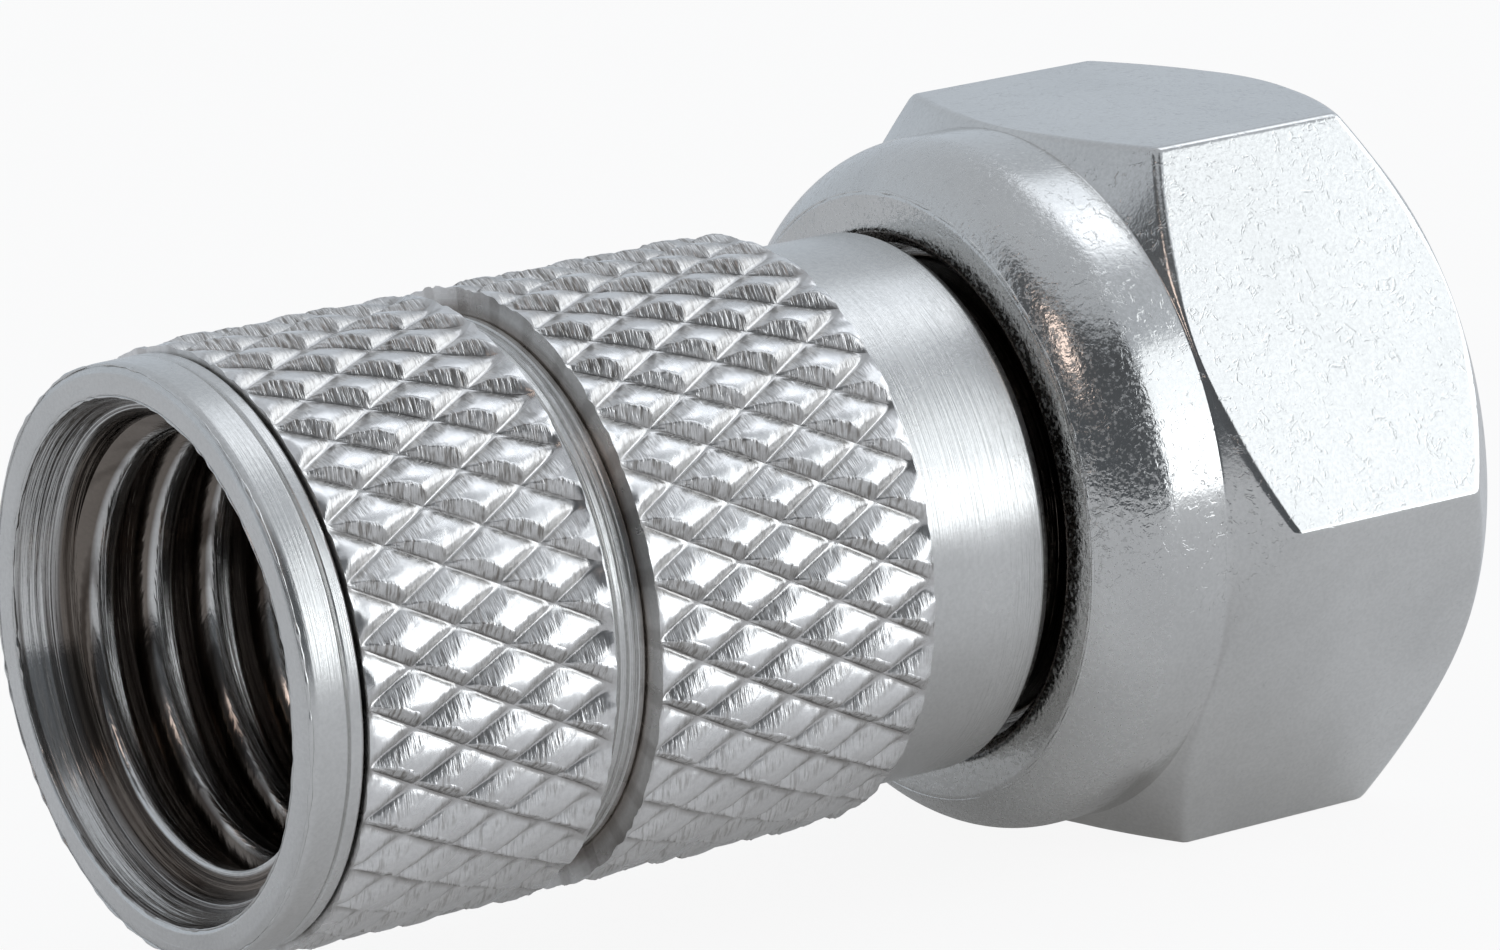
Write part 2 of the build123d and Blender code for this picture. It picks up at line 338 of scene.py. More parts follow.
def grid_object(name, x, radius, turn, closed_columns=True):
    """A mesh from a grid of rows along a closed outline and columns round the axis. Rows that
    run to +X on the outside and to -X on the inside give faces that look outwards."""
    rows, columns = x.shape
    i, j = np.meshgrid(np.arange(rows), np.arange(columns if closed_columns else columns - 1), indexing="ij")
    i1 = (i + 1) % rows
    j1 = (j + 1) % columns
    quads = np.stack([i * columns + j, i * columns + j1, i1 * columns + j1, i1 * columns + j], axis=-1)
    return net_object(name, x, radius, turn, quads.reshape(-1, 4))


def bevelled(corners):
    """The rows of an outline whose corners are (x, radius, edge). Each corner is rounded over,
    but never past the middle of a run, and a row close beside it keeps the rest straight."""
    width = max(np.size(value) for corner in corners for value in corner[:2])
    place = [np.array([np.broadcast_to(c[0], width), np.broadcast_to(c[1], width)], float) for c in corners]
    count = len(corners)
    rows = []
    for k, corner in enumerate(corners):
        before, here, after = place[k - 1], place[k], place[(k + 1) % count]
        edge = corner[2]
        if edge == 0:
            rows.append(here)
            continue
        back, ahead = before - here, after - here
        back_length, ahead_length = np.hypot(*back), np.hypot(*ahead)
        shorter = np.minimum(back_length, ahead_length)
        trim = np.minimum(edge, BEVEL_SHARE * shorter)
        beside = np.minimum(BEVEL_SUPPORT, BEVEL_SUPPORT_SHARE * shorter)
        start = here + back / back_length * trim
        end = here + ahead / ahead_length * trim
        rows.append(here + back / back_length * (trim + beside))
        for n in range(BEVEL_SEGMENTS + 1):
            s = n / BEVEL_SEGMENTS
            rows.append((1 - s) ** 2 * start + 2 * s * (1 - s) * here + s * s * end)
        rows.append(here + ahead / ahead_length * (trim + beside))
    outline = np.array(rows)
    return outline[:, 0], outline[:, 1]


def lathe(name, corners, columns=360, wobble=None):
    """A turned body from the corners of its closed outline."""
    x, radius = bevelled(corners)
    turn = np.arange(columns) / columns * TAU
    x, turn = np.broadcast_arrays(x, turn[None, :])
    radius = np.broadcast_to(radius, x.shape)
    if wobble:
        radius = radius + wobble(turn, x, radius)
    return grid_object(name, x, radius, turn)


def close_ends(mesh, first, last):
    """Adds one face over each open end of a mesh, from the numbers of the end's points."""
    work = bmesh.new()
    work.from_mesh(mesh)
    work.verts.ensure_lookup_table()
    work.faces.new([work.verts[n] for n in first])
    work.faces.new([work.verts[n] for n in reversed(last)])
    bmesh.ops.recalc_face_normals(work, faces=work.faces)
    work.to_mesh(mesh)
    work.free()


def helical_ridge(name, start, thread, turn=0.0, cut=None, segments=96, sink=0.06, fade=0.08):
    """The ridge of an internal right-hand thread, a closed body that stands on the bore and is
    a little sunk in it. It fades in and out over a share of a turn. Where it is cut, what lies
    before that place is pressed flat into it."""
    turns = thread["length"] / thread["pitch"]
    steps = int(turns * segments)
    along = np.linspace(0, turns, steps + 1)
    height = np.clip(np.minimum(along, turns - along) / fade, 0.02, 1) * (thread["root"] - thread["crest"])
    half_base, half_top = thread["base"] / 2, thread["top"] / 2
    shoulder = half_top + 0.25 * (half_base - half_top)
    outline = [
        (half_base, -sink), (half_base, 0), (shoulder, 0.8), (half_top, 0.97),
        (0, 1), (-half_top, 0.97), (-shoulder, 0.8), (-half_base, 0), (-half_base, -sink),
    ]
    side = np.array([p[0] for p in outline])[:, None]
    rise = np.array([p[1] for p in outline])[:, None]
    x = start + half_base + along[None, :] * thread["pitch"] + side
    if cut is not None:
        x = np.maximum(x, cut)
    radius = thread["root"] - np.where(rise > 0, rise * height[None, :], rise)
    turn = np.broadcast_to(turn + along[None, :] * TAU, x.shape)
    piece = grid_object(name, x, radius, turn, closed_columns=False)
    points = len(outline) * (steps + 1)
    close_ends(piece.data, range(0, points, steps + 1), range(steps, points, steps + 1))
    return piece


def burr_ring(name, x, radius, seed, columns=900, rows=8):
    """The beaded burr that a tool leaves along a turned edge, a thin closed ring. Its lowest x
    is the one given, or a little more."""
    turn = np.arange(columns) / columns * TAU
    fine, coarse = BURR_BEADS
    beads = smooth_noise(turn, turn * 0, fine, 1.0, seed)
    beads = beads + 0.5 * smooth_noise(turn, turn * 0, coarse, 1.0, seed + 1)
    thickness = BURR_RADIUS * (0.6 + 0.4 * np.clip(beads, -1, 1))
    section = (np.arange(rows) / rows * TAU)[:, None]
    places = x + BURR_RADIUS - thickness * np.cos(section)
    radii = radius + thickness * np.sin(section)
    return grid_object(name, places, radii, np.broadcast_to(turn, places.shape))


def groove_corners():
    """Corners of the fine turned ridges in the groove between the knurled bands."""
    corners = []
    for k in range(RIDGE_COUNT + 1):
        valley = BAND_1_END + k * GROOVE_WIDTH / RIDGE_COUNT
        corners.append((valley - RIDGE_GAP / 2, GROOVE_RADIUS, RIDGE_EDGE))
        corners.append((valley, GROOVE_RADIUS - RIDGE_DEPTH, RIDGE_VALLEY_EDGE))
        corners.append((valley + RIDGE_GAP / 2, GROOVE_RADIUS, RIDGE_EDGE))
    return corners


def sleeve_corners():
    """Corners of the sleeve's outline, from the mouth over the outside and back through the bore."""
    line = CABLE_END + RIM_LINE_PLACE
    cone_end = CABLE_END + MOUTH_CONE_LENGTH
    return [
        (CABLE_END + MOUTH_EDGE, MOUTH_OUTER_RADIUS, CRISP_EDGE),
        (CABLE_END, MOUTH_OUTER_RADIUS + MOUTH_EDGE, CRISP_EDGE),
        (CABLE_END, RIM_RADIUS, RIM_ROUND),
        (line, RIM_RADIUS, RIM_LINE_EDGE),
        (line + RIM_LINE_WIDTH / 2, RIM_RADIUS - RIM_LINE_DEPTH, HAIR_EDGE),
        (line + RIM_LINE_WIDTH, RIM_RADIUS, RIM_LINE_EDGE),
        (BAND_1_START - RIM_STEP_LENGTH, RIM_RADIUS, BLUNT_EDGE),
        (BAND_1_START - RIM_STEP_FOOT, STEP_RADIUS, CRISP_EDGE),
        (BAND_1_START + BAR_START, BAR_RADIUS, CRISP_EDGE),
        *groove_corners(),
        (BAND_2_END, NECK_RADIUS, CRISP_EDGE),
        (NECK_END - NECK_CHAMFER[0], NECK_RADIUS, CRISP_EDGE),
        (NECK_END, NECK_RADIUS - NECK_CHAMFER[1], PLAIN_EDGE),
        (NECK_END, SPIGOT_RADIUS, SOFT_EDGE),
        (FLANGE_BACK, SPIGOT_RADIUS, SOFT_EDGE),
        (FLANGE_BACK, FLANGE_RADIUS, FLANGE_EDGE),
        (0, FLANGE_RADIUS, FLANGE_EDGE),
        (0, CORE_RADIUS, SOFT_EDGE),
        (SOCKET_END, CORE_RADIUS, CORE_EDGE),
        (SOCKET_END, CABLE_THREAD["root"], SOCKET_EDGE),
        (THREAD_START, CABLE_THREAD["root"], BLUNT_EDGE),
        (cone_end, MOUTH_INNER_RADIUS - MOUTH_STEP, HAIR_EDGE),
        (cone_end, MOUTH_INNER_RADIUS, HAIR_EDGE),
    ]


def sleeve_wobble(turn, x, radius):
    """Slight dents in the rim, and nothing elsewhere."""
    full, none = (CABLE_END + reach for reach in DENT_REACH)
    at_rim = ramp(x, none, full) * (radius > DENT_RADIUS)
    return DENT_DEPTH * at_rim * smooth_noise(turn, x, *DENT_CELLS, seed=3)


def knurl_net(rows):
    """A net whose lines run along the knurl's two sets of grooves: the number of each point
    across them, with a margin past both ends of the band, and the net's faces."""
    count = KNURL_STARTS * SCALE_CELLS
    margin = SCALE_CELLS // 2
    falling, offset = np.meshgrid(np.arange(count), np.arange(-margin, rows * SCALE_CELLS + margin + 1),
                                  indexing="ij")
    number = np.arange(falling.size).reshape(falling.shape)
    after = np.roll(number, -1, axis=0)
    quads = np.stack([number[:, 1:-1], after[:, :-2], after[:, 1:-1], number[:, 2:]], axis=-1)
    return falling + offset, falling, quads.reshape(-1, 4)


def knurl_noise(turn, rows_along, kind, seed):
    """One of the kinds of noise on the knurl, from -1 to 1."""
    return smooth_noise(turn, rows_along, KNURL_STARTS * kind["round"], kind["length"], seed)


def knurl_scales(rows, seed):
    """Where the points of a knurled band's net lie, as turns and rows along it, how far each
    stands over the roots, from 0 to 1, how torn the metal is there and how much painted shade it
    gets at the scale's foot and between scales. Each scale rises gently to a ridge and breaks off
    in a steep lower side."""
    climbing, falling, quads = knurl_net(rows)
    across = climbing % SCALE_CELLS / SCALE_CELLS - 0.5
    share = falling % SCALE_CELLS / SCALE_CELLS
    block = falling // SCALE_CELLS
    row = climbing // SCALE_CELLS - block + 1
    size = np.random.default_rng(seed).uniform(*SCALE_SIZES, (rows + 3, KNURL_STARTS))[row, block]
    leaning = across - SCALE_LEAN * (1 - (2 * across) ** 2)
    arch = (1 - np.abs(2 * leaning) ** SCALE_FULLNESS) * size

    plain_turn = (climbing + falling) / 2 / SCALE_CELLS * TAU / KNURL_STARTS
    plain_rows = (climbing - falling) / SCALE_CELLS
    chips = knurl_noise(plain_turn, plain_rows, CHIPS, seed + 1)
    crumbs = knurl_noise(plain_turn, plain_rows, CRUMBS, seed + 2)
    lumps = knurl_noise(plain_turn, plain_rows, LUMPS, seed + 3)

    top_share = 1 - CLIFF_CELLS / SCALE_CELLS
    ridge = RIDGE_PLACE - (CLIFF_WIDTH + CLIFF_CHIPS * chips) * arch
    on_cliff = ramp(share, top_share, 1)
    on_top = ramp(share, 0, top_share)
    down = np.where(share < top_share, (ridge + 0.5) * on_top - 0.5, ridge + (0.5 - ridge) * on_cliff)
    height = arch * np.where(share < top_share, np.sin(TAU / 4 * on_top) ** SCALE_SWELL, 1 - on_cliff)

    cliff = np.clip(arch * 1.6, 0, 1) * (share >= top_share) * ramp(-on_cliff, -1.3, -0.7)
    flank = TORN_FLANKS[0] * ramp(-across, *TORN_BELOW) + TORN_FLANKS[1] * ramp(across, *TORN_ABOVE)
    torn = np.maximum(cliff, flank * ramp(height, 0.04, 0.2))
    # Masks for painted shade at the scale's foot and in the grooves between scales
    foot = ramp(-share * SCALE_CELLS, -2, 0) + ramp(on_cliff, 0.8, 1)
    valley = VALLEY_SHARE * (ramp(across, *DARK_ABOVE) + ramp(-across, *DARK_BELOW))
    broken = CHIPS["height"] * chips + CRUMBS["height"] * crumbs
    height = height * (1 + LUMPS["height"] * lumps) + torn * broken

    climb = climbing / SCALE_CELLS
    fall = block + 0.5 + down
    turn = ((climb + fall) / 2 - 0.5) * TAU / KNURL_STARTS
    return turn, climb - fall, height, torn, np.maximum(foot * arch, valley), quads


def cut_ends(mesh, start, end):
    """Cuts a band's net off square at both ends and closes it with walls that run into the bar."""
    work = bmesh.new()
    work.from_mesh(mesh)
    for place, side in ((start, -1), (end, 1)):
        everything = work.verts[:] + work.edges[:] + work.faces[:]
        bmesh.ops.bisect_plane(work, geom=everything, dist=1e-8, plane_co=(place * MM, 0, 0),
                               plane_no=(side, 0, 0), clear_outer=True)
    rims = [edge for edge in work.edges if edge.is_boundary]
    for edge in rims:
        edge.smooth = False
    walls = bmesh.ops.extrude_edge_only(work, edges=rims)["geom"]
    for vert in walls:
        if isinstance(vert, bmesh.types.BMVert):
            shrink = (BAR_RADIUS - BAND_SINK) * MM / math.hypot(vert.co.y, vert.co.z)
            vert.co.y *= shrink
            vert.co.z *= shrink
    bmesh.ops.bridge_loops(work, edges=[edge for edge in work.edges if edge.is_boundary])
    bmesh.ops.recalc_face_normals(work, faces=work.faces)
    for face in work.faces:
        face.smooth = True
    work.to_mesh(mesh)
    work.free()


def knurled_band(name, start, length, rows, seed, levels):
    """A band of diamond knurl, a closed ring that is sunk in the turned bar. The grooves run
    out a little before its ends, at a height for each of the two, and the edges are ragged."""
    turn, rows_along, height, torn, foot, quads = knurl_scales(rows, seed)
    x = start + rows_along * length / rows
    ragged = BAND_RAGGED * smooth_noise(turn, rows_along, *BAND_RAGGED_CELLS, seed + 4)
    ends = (np.exp((start - x) / BAND_FADES[0]), np.exp((x - start - length) / BAND_FADES[1]))
    for edge, level in zip(ends, levels):
        edge = np.clip(edge, 0, 1)
        height = height + (level + ragged - height) * edge
        torn = torn * (1 - edge)
    radius = ROOT_RADIUS + (KNURL_RADIUS - ROOT_RADIUS) * height
    radius = np.minimum(radius, KNURL_RADIUS - SCALE_TOP_GAP)
    piece = net_object(name, x, radius, turn, quads)
    for mark, values in (("torn", torn), ("foot", foot)):
        layer = piece.data.attributes.new(mark, "FLOAT", "POINT")
        layer.data.foreach_set("value", values.ravel().astype(np.float32))
    cut_ends(piece.data, start, start + length)
    return piece


def hexagon_radius(turn):
    """Distance from the axis to the rounded hexagon at an angle round it. Flats face +-Z."""
    apothem = ACROSS_FLATS / 2
    sixth = TAU / 6
    off_flat = np.abs((turn - TAU / 4 + sixth / 2) % sixth - sixth / 2)
    tangent = math.atan((apothem - HEX_CORNER_ROUND) * math.tan(sixth / 2) / apothem)
    centre = (apothem - HEX_CORNER_ROUND) / math.cos(sixth / 2)
    off_corner = sixth / 2 - off_flat
    under_root = HEX_CORNER_ROUND ** 2 - (centre * np.sin(off_corner)) ** 2
    arc = centre * np.cos(off_corner) + np.sqrt(np.maximum(under_root, 0))
    return np.where(off_flat < tangent, apothem / np.cos(off_flat), arc)


def nut_turns(columns_per_flat=84):
    """Angles round the nut, closer together at the hexagon's corners."""
    share = np.arange(columns_per_flat) / columns_per_flat
    eased = share - HEX_CORNER_CROWDING * np.sin(TAU * share) / TAU
    return np.concatenate([(k - 0.5 + eased) * TAU / 6 + TAU / 4 for k in range(6)])


def dome_points(count=16):
    """Points of the dome from the rear face to the barrel, which it meets smoothly."""
    rise = BARREL_RADIUS - REAR_FACE_RADIUS
    arc = (DOME_LENGTH ** 2 + rise ** 2) / (2 * rise)
    whole = math.asin(DOME_LENGTH / arc)
    points = []
    for k in range(1, count):
        turn = whole * (1 - k / count)
        points.append((BARREL_START - arc * math.sin(turn), BARREL_RADIUS - arc + arc * math.cos(turn), 0))
    return points


def coupling_nut():
    """The nut: a domed barrel that runs out into a chamfered hexagon, bored and threaded."""
    turn = nut_turns()
    hexagon = hexagon_radius(turn)
    face = ACROSS_FLATS / 2 - FRONT_FACE_INSET
    flat_start = BARREL_END + (hexagon - BARREL_RADIUS) / math.tan(math.radians(REAR_CONE_ANGLE))
    flat_end = NUT_FRONT - (hexagon - face) * math.tan(math.radians(FRONT_CONE_ANGLE))
    bore = PORT_THREAD["root"]
    corners = [
        (NUT_BACK + LIP_EDGE, LIP_RADIUS, SOFT_EDGE),
        (NUT_BACK, LIP_RADIUS + LIP_EDGE, SOFT_EDGE),
        (NUT_BACK, REAR_FACE_RADIUS, PLAIN_EDGE),
        *dome_points(),
        (BARREL_START, BARREL_RADIUS, 0),
        (BARREL_END, BARREL_RADIUS, CRISP_EDGE),
        (flat_start, hexagon, HEX_REAR_EDGE),
        (flat_end, hexagon, HEX_FRONT_EDGE),
        (NUT_FRONT, face, SOFT_EDGE),
        (NUT_FRONT, bore + THREAD_LEAD_IN, BLUNT_EDGE),
        (NUT_FRONT - THREAD_LEAD_IN, bore, PLAIN_EDGE),
        (RELIEF_LENGTH, bore, PLAIN_EDGE),
        (RELIEF_LENGTH - RELIEF_STEP, CAVITY_RADIUS, CAVITY_EDGE),
        (CAVITY_START, CAVITY_RADIUS, SOFT_EDGE),
        (CAVITY_START, LIP_RADIUS, SOFT_EDGE),
    ]
    x, radius = bevelled(corners)
    x, turn = np.broadcast_arrays(x, turn[None, :])
    return grid_object("coupling_nut_finish", x, radius, turn)


def node_of(tree, kind, **values):
    """A new node with some of its settings and inputs set by name."""
    node = tree.nodes.new(kind)
    for key, value in values.items():
        if hasattr(node, key):
            setattr(node, key, value)
        else:
            node.inputs[key.replace("_", " ")].default_value = value
    return node


def scaled(tree, source, factor):
    """A value times a constant or another value."""
    node = node_of(tree, "ShaderNodeMath", operation="MULTIPLY")
    tree.links.new(source, node.inputs[0])
    if isinstance(factor, (int, float)):
        node.inputs[1].default_value = factor
    else:
        tree.links.new(factor, node.inputs[1])
    return node.outputs[0]


def added(tree, source, other):
    """The sum of two values."""
    node = node_of(tree, "ShaderNodeMath", operation="ADD")
    tree.links.new(source, node.inputs[0])
    tree.links.new(other, node.inputs[1])
    return node.outputs[0]


def ranged(tree, source, low, high, at_low=0.0, at_high=1.0):
    """A value carried from one range over to another, and level beyond it."""
    node = node_of(tree, "ShaderNodeMapRange")
    for key, value in (("From Min", low), ("From Max", high), ("To Min", at_low), ("To Max", at_high)):
        node.inputs[key].default_value = value
    tree.links.new(source, node.inputs["Value"])
    return node.outputs[0]


def faded(tree, distance, fade):
    """From 0 to 1 between two distances in millimetres."""
    return ranged(tree, distance, fade[0] * MM, fade[1] * MM)


def bumped(tree, height, depth, under=None):
    """The normal over a height from 0 to 1 that stands for a depth in millimetres, on top of
    another bump."""
    node = node_of(tree, "ShaderNodeBump", Strength=1.0, Distance=depth * MM)
    tree.links.new(height, node.inputs["Height"])
    if under:
        tree.links.new(under, node.inputs["Normal"])
    return node.outputs["Normal"]


def darkened(tree, colour, share, by):
    """A colour multiplied by another one where a share from 0 to 1 is high."""
    mix = node_of(tree, "ShaderNodeMix", data_type="RGBA", blend_type="MULTIPLY")
    mix.inputs[7].default_value = (*by, 1)
    tree.links.new(share, mix.inputs[0])
    tree.links.new(colour, mix.inputs[6])
    return mix.outputs[2]


def two_colours(tree, share, first, second, low, high):
    """A colour that goes from a first to a second one as a share rises from low to high."""
    blend = node_of(tree, "ShaderNodeValToRGB")
    for stop, position, colour in zip(blend.color_ramp.elements, (low, high), (first, second)):
        stop.position = position
        stop.color = (*colour, 1)
    tree.links.new(share, blend.inputs["Fac"])
    return blend.outputs["Color"]


def speckle(tree, waves, detail, roughness=0.6, distortion=0.0):
    """Noise from 0 to 1 that is fixed to the piece."""
    place = node_of(tree, "ShaderNodeTexCoord").outputs["Object"]
    noise = node_of(tree, "ShaderNodeTexNoise", Scale=waves, Detail=detail, Roughness=roughness,
                    Distortion=distortion)
    tree.links.new(place, noise.inputs["Vector"])
    return noise.outputs["Fac"]


def turned_place(tree):
    """Where a point lies on a turned piece: how far along the axis, in which direction from it
    and how far out."""
    place = node_of(tree, "ShaderNodeTexCoord").outputs["Object"]
    split = node_of(tree, "ShaderNodeSeparateXYZ")
    tree.links.new(place, split.inputs[0])
    flat = node_of(tree, "ShaderNodeVectorMath", operation="MULTIPLY")
    flat.inputs[1].default_value = (0, 1, 1)
    tree.links.new(place, flat.inputs[0])
    away = node_of(tree, "ShaderNodeVectorMath", operation="NORMALIZE")
    tree.links.new(flat.outputs[0], away.inputs[0])
    distance = node_of(tree, "ShaderNodeVectorMath", operation="LENGTH")
    tree.links.new(flat.outputs[0], distance.inputs[0])
    return split.outputs["X"], away.outputs[0], distance.outputs["Value"]


def turned_marks(tree, place, waves, detail=2.0):
    """Noise from 0 to 1 that is drawn out round the axis."""
    along, around, outward = waves
    axis, direction, distance = place
    profile = node_of(tree, "ShaderNodeCombineXYZ")
    straight = added(tree, scaled(tree, axis, along), scaled(tree, distance, outward))
    tree.links.new(straight, profile.inputs["X"])
    circle = node_of(tree, "ShaderNodeVectorMath", operation="SCALE", Scale=around)
    tree.links.new(direction, circle.inputs[0])
    whole = node_of(tree, "ShaderNodeVectorMath", operation="ADD")
    tree.links.new(profile.outputs[0], whole.inputs[0])
    tree.links.new(circle.outputs[0], whole.inputs[1])
    noise = node_of(tree, "ShaderNodeTexNoise", Scale=1.0, Detail=detail, Roughness=0.65)
    tree.links.new(whole.outputs[0], noise.inputs["Vector"])
    return noise.outputs["Fac"]


def peened_look(tree, place, colour, dull, normal):
    """What the nut has besides: a pitted skin, and on the dome dimples and matt spots."""
    dimples = speckle(tree, DIMPLE_WAVES, 2.0)
    pits = speckle(tree, PIT_WAVES, 3.0, 0.7, 1.2)
    spots = speckle(tree, SPOT_WAVES, 2.0)
    on_dome = faded(tree, place[0], (BARREL_START, BARREL_START - DIMPLE_FADE))
    dimpled = ranged(tree, on_dome, 0, 1, DIMPLES_OFF_DOME, 1)
    normal = bumped(tree, scaled(tree, dimples, dimpled), DIMPLE_DEPTH, normal)
    normal = bumped(tree, ranged(tree, pits, *PIT_RANGE), PIT_DEPTH, normal)
    matt = scaled(tree, ranged(tree, spots, *SPOT_RANGE, 0, SPOT_DULLNESS), on_dome)
    return colour, added(tree, dull, matt), normal


def torn_look(tree, place, colour, dull, normal):
    """What the knurl has besides: hatched, cracked and dull where the metal was torn, with painted
    shade on the torn metal and in its cracks, and painted shade at the feet of the scales, between
    them and below them."""
    mark = node_of(tree, "ShaderNodeAttribute", attribute_name="torn").outputs["Fac"]
    foot = node_of(tree, "ShaderNodeAttribute", attribute_name="foot").outputs["Fac"]
    hatch = turned_marks(tree, place, HATCH_WAVES)
    cracks = scaled(tree, ranged(tree, hatch, *CRACK_RANGE), mark)
    # Painted shade on the torn metal.
    colour = darkened(tree, colour, scaled(tree, mark, TORN_SHARE), TORN_PAINTED_SHADE)
    # Painted shade in the cracks.
    colour = darkened(tree, colour, cracks, CRACK_PAINTED_SHADE)
    # Painted shade low at the bands' ends, below the scales.
    colour = darkened(tree, colour, faded(tree, place[2], LOW_FADE), LOW_PAINTED_SHADE)
    # Painted shade at the feet of the scales and between them.
    colour = darkened(tree, colour, foot, FOOT_PAINTED_SHADE)
    normal = bumped(tree, scaled(tree, hatch, mark), HATCH_DEPTH, normal)
    return colour, added(tree, dull, scaled(tree, mark, TORN_DULLNESS)), normal


def bored_look(tree, place, colour, dull, normal):
    """What the turned body has besides, inside its bore: a tool's marks and streaks, and brown
    painted shade below the crests of the thread."""
    inside = faded(tree, place[2], BORE_FADE)
    # Brown painted shade in the thread's valleys, not on its crests
    thread_shaded = scaled(tree, faded(tree, place[2], THREAD_SHADE_FADE), faded(tree, place[2], CREST_FADE))
    streaks = ranged(tree, turned_marks(tree, place, STREAK_WAVES), *STREAK_RANGE)
    marks = turned_marks(tree, place, BORING_WAVES, 4.0)
    colour = darkened(tree, colour, thread_shaded, THREAD_PAINTED_SHADE)
    colour = darkened(tree, colour, scaled(tree, streaks, inside), STREAK_SHADE)
    normal = bumped(tree, scaled(tree, marks, inside), BORING_DEPTH, normal)
    return colour, added(tree, dull, scaled(tree, inside, BORE_DULLNESS)), normal


def nickel(name, tone, roughness, turning_depth, grain_depth, look):
    """Nickel plate over brass: satin, with clouds, turning marks round the axis and a fine
    grain, and with what a look adds to its colour, roughness and relief."""
    material = bpy.data.materials.new(name)
    material.use_nodes = True
    tree = material.node_tree
    shader = tree.nodes["Principled BSDF"]
    shader.inputs["Metallic"].default_value = 1.0
    place = turned_place(tree)
    grain = speckle(tree, GRAIN_WAVES, 3.0)
    cloud = speckle(tree, CLOUD_WAVES, 4.0, 0.55)

    clouded = tuple(part * CLOUD_SHADE for part in tone)
    colour = two_colours(tree, cloud, clouded, tone, *CLOUD_RANGE)
    colour = darkened(tree, colour, ranged(tree, grain, *GRAIN_RANGE), GRAIN_SHADE)
    dull = ranged(tree, cloud, *DULL_RANGE, *(roughness + change for change in CLOUD_DULLNESS))
    normal = bumped(tree, turned_marks(tree, place, TURNING_WAVES, 4.0), turning_depth)
    colour, dull, normal = look(tree, place, colour, dull, normal)

    tree.links.new(colour, shader.inputs["Base Color"])
    tree.links.new(dull, shader.inputs["Roughness"])
    tree.links.new(bumped(tree, grain, grain_depth, normal), shader.inputs["Normal"])
    return material


def placed(piece, body, node, material):
    """Puts a piece on its body, in place of its solid."""
    piece.data.materials.append(material)
    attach(piece, body)
    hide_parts(node)


def build_sleeve():
    """The sleeve's turned body, its thread, its burrs and its two knurled bands."""
    turned = nickel("turned_nickel", TURNED_TONE, roughness=0.24, turning_depth=0.008,
                    grain_depth=0.0012, look=bored_look)
    # The knurled plate's lighter tone is painted light.
    knurled = nickel("knurled_nickel", KNURLED_PAINTED_LIGHT_TONE, roughness=0.27, turning_depth=0.002,
                     grain_depth=0.002, look=torn_look)
    ridge_start = THREAD_START - CABLE_THREAD["base"]
    pieces = [
        (lathe("sleeve_turned", sleeve_corners(), wobble=sleeve_wobble), turned),
        (helical_ridge("cable_thread", ridge_start, CABLE_THREAD, CABLE_THREAD_TURN, THREAD_START), turned),
        (burr_ring("mouth_burr", CABLE_END, MOUTH_OUTER_RADIUS, seed=5), turned),
        (burr_ring("rim_burr", CABLE_END, RIM_RADIUS - RIM_BURR_INSET, seed=7), turned),
        (knurled_band("knurl_cable_side", BAND_1_START, BAND_1_LENGTH, BAND_1_ROWS,
                      seed=11, levels=(0.6, 0.9)), knurled),
        (knurled_band("knurl_nut_side", BAND_2_START, BAND_2_LENGTH, BAND_2_ROWS,
                      seed=31, levels=(0.9, 0.5)), knurled),
    ]
    for piece, material in pieces:
        placed(piece, "sleeve", "sleeve_body", material)


def build_nut():
    """The nut, the thread inside its open end and the burr round its rear face."""
    smooth = nickel("nut_nickel", TURNED_TONE, roughness=0.14, turning_depth=0.001,
                    grain_depth=0.0012, look=peened_look)
    pieces = [
        coupling_nut(),
        helical_ridge("port_thread", RELIEF_LENGTH, PORT_THREAD),
        burr_ring("lip_burr", NUT_BACK, REAR_FACE_RADIUS + LIP_BURR_OUTSET, seed=9),
    ]
    for piece in pieces:
        placed(piece, "nut", "coupling_nut", smooth)


def white_share(tree, seen, mirrored):
    """How much plain white a background shows: seen, by the camera or through glass, and
    mirrored, in metal."""
    path = node_of(tree, "ShaderNodeLightPath")
    eye = node_of(tree, "ShaderNodeMath", operation="MAXIMUM")
    tree.links.new(path.outputs["Is Camera Ray"], eye.inputs[0])
    tree.links.new(path.outputs["Is Transmission Ray"], eye.inputs[1])
    in_metal = scaled(tree, path.outputs["Is Glossy Ray"], mirrored)
    return added(tree, scaled(tree, eye.outputs[0], seen), in_metal)


def within(tree, direction, towards, low, high):
    """From 0 to 1 as a direction's share along another one rises from low to high."""
    dot = node_of(tree, "ShaderNodeVectorMath", operation="DOT_PRODUCT")
    dot.inputs[1].default_value = towards
    tree.links.new(direction, dot.inputs[0])
    rise = node_of(tree, "ShaderNodeMapRange", interpolation_type="SMOOTHSTEP")
    rise.inputs["From Min"].default_value = low
    rise.inputs["From Max"].default_value = high
    tree.links.new(dot.outputs["Value"], rise.inputs["Value"])
    return rise.outputs[0]


def dark_side(tree, direction):
    """From 0 to 1 inside the dark side of the studio."""
    soft = math.sin(math.radians(DARK_SIDE_SOFTNESS))
    first, last = (math.radians(azimuth) for azimuth in DARK_SIDE_AZIMUTHS)
    low, high = (math.sin(math.radians(height)) for height in DARK_SIDE_HEIGHTS)
    edges = [
        ((-math.sin(first), math.cos(first), 0), 0),
        ((math.sin(last), -math.cos(last), 0), 0),
        ((0, 0, 1), low),
        ((0, 0, -1), -high),
    ]
    share = None
    for towards, edge in edges:
        inside = within(tree, direction, towards, edge - soft / 2, edge + soft / 2)
        share = scaled(tree, inside, share) if share else inside
    return share


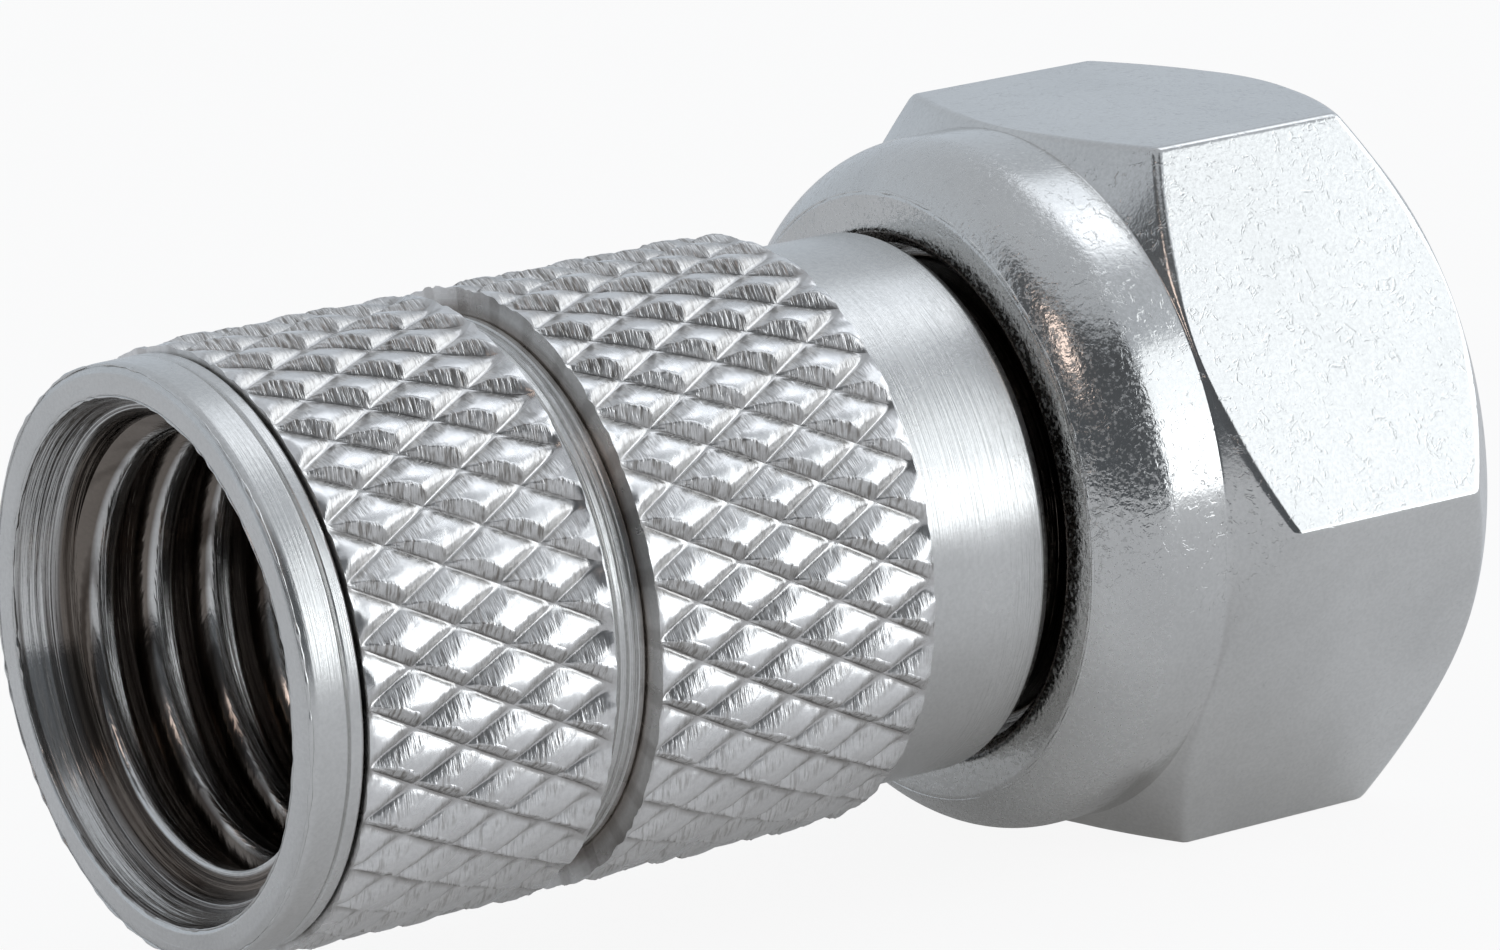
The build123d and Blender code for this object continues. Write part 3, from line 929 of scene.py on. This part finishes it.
def studio_world():
    """A white background, and for light and gloss a grey-blue studio with a dark side and a
    bright part of the ceiling."""
    world = bpy.data.worlds.new("studio")
    bpy.context.scene.world = world
    world.use_nodes = True
    tree = world.node_tree
    tree.nodes.clear()
    direction = node_of(tree, "ShaderNodeTexCoord").outputs["Generated"]
    split = node_of(tree, "ShaderNodeSeparateXYZ")
    tree.links.new(direction, split.inputs[0])
    wall = two_colours(tree, split.outputs["Z"], WALL_BELOW, WALL_ABOVE, 0.0, WALL_CHANGE)
    near, far = (math.cos(math.radians(reach)) for reach in CEILING_REACH)
    overhead = within(tree, direction, CEILING_TOWARDS, far, near)
    ceiling = ranged(tree, overhead, 0, 1, 1, CEILING_LEVEL)
    dimmed = ranged(tree, dark_side(tree, direction), 0, 1, 1, DARK_SIDE_LEVEL)
    room = node_of(tree, "ShaderNodeBackground")
    tree.links.new(wall, room.inputs["Color"])
    tree.links.new(scaled(tree, dimmed, ceiling), room.inputs["Strength"])
    white = node_of(tree, "ShaderNodeBackground", Strength=1.0)
    white.inputs["Color"].default_value = (1, 1, 1, 1)
    mix = node_of(tree, "ShaderNodeMixShader")
    tree.links.new(white_share(tree, 1.0, 0.0), mix.inputs[0])
    tree.links.new(room.outputs[0], mix.inputs[1])
    tree.links.new(white.outputs[0], mix.inputs[2])
    output = node_of(tree, "ShaderNodeOutputWorld")
    tree.links.new(mix.outputs[0], output.inputs["Surface"])


def floor_material():
    """A matt pale floor that also shows plain white, to the eye and in metal."""
    material = bpy.data.materials.new("floor_white")
    material.use_nodes = True
    tree = material.node_tree
    tree.nodes.clear()
    matt = node_of(tree, "ShaderNodeBsdfDiffuse")
    matt.inputs["Color"].default_value = FLOOR_COLOUR
    glow = node_of(tree, "ShaderNodeEmission", Strength=1.0)
    glow.inputs["Color"].default_value = (1, 1, 1, 1)
    mix = node_of(tree, "ShaderNodeMixShader")
    tree.links.new(white_share(tree, FLOOR_SEEN, FLOOR_MIRRORED), mix.inputs[0])
    tree.links.new(matt.outputs[0], mix.inputs[1])
    tree.links.new(glow.outputs[0], mix.inputs[2])
    output = node_of(tree, "ShaderNodeOutputMaterial")
    tree.links.new(mix.outputs[0], output.inputs["Surface"])
    return material


def studio_floor():
    """A wide pale floor under the nut's lowest flat."""
    half = FLOOR_HALF * MM
    height = FLOOR_HEIGHT * MM
    corners = [(-half, -half, height), (half, -half, height), (half, half, height), (-half, half, height)]
    mesh = bpy.data.meshes.new("floor")
    mesh.from_pydata(corners, [], [(0, 1, 2, 3)])
    mesh.materials.append(floor_material())
    floor = bpy.data.objects.new("floor", mesh)
    bpy.context.scene.collection.objects.link(floor)


def soft_box(name, towards, width, height, radiance, tint):
    """A square lamp that looks at the part from a direction, with its brightness per area."""
    light = bpy.data.lights.new(name, "AREA")
    light.shape = "RECTANGLE"
    light.size = width
    light.size_y = height
    light.energy = radiance * math.pi * width * height
    light.color = tint
    lamp = bpy.data.objects.new(name, light)
    away = Vector(towards).normalized()
    lamp.location = away * LAMP_DISTANCE
    lamp.rotation_euler = away.to_track_quat("Z", "Y").to_euler()
    bpy.context.scene.collection.objects.link(lamp)


def studio_lamps():
    """Soft boxes on the right, a small one above and a warm one behind the camera. A mirror
    sees the studio's wall through them, on top of their own light."""
    for name, values in LAMPS.items():
        soft_box(name, *values)


def studio_camera():
    """The photograph's view of the part."""
    right = CAMERA_LOOK.cross(Vector((0, 0, 1))).normalized()
    up = right.cross(CAMERA_LOOK).normalized()
    rolled_up = up * math.cos(CAMERA_ROLL) + right * math.sin(CAMERA_ROLL)
    rolled_right = right * math.cos(CAMERA_ROLL) - up * math.sin(CAMERA_ROLL)
    data = bpy.data.cameras.new("camera")
    data.lens = CAMERA_LENS
    data.sensor_width = CAMERA_SENSOR
    data.clip_start, data.clip_end = CAMERA_RANGE
    camera = bpy.data.objects.new("camera", data)
    axes = Matrix((rolled_right, rolled_up, -CAMERA_LOOK.normalized())).transposed()
    camera.matrix_world = Matrix.Translation(CAMERA_PLACE) @ axes.to_4x4()
    bpy.context.scene.collection.objects.link(camera)
    bpy.context.scene.camera = camera


build_sleeve()
build_nut()
studio_world()
studio_floor()
studio_lamps()
studio_camera()
bpy.context.scene.view_settings.view_transform = "Standard"

bpy.context.view_layer.update()
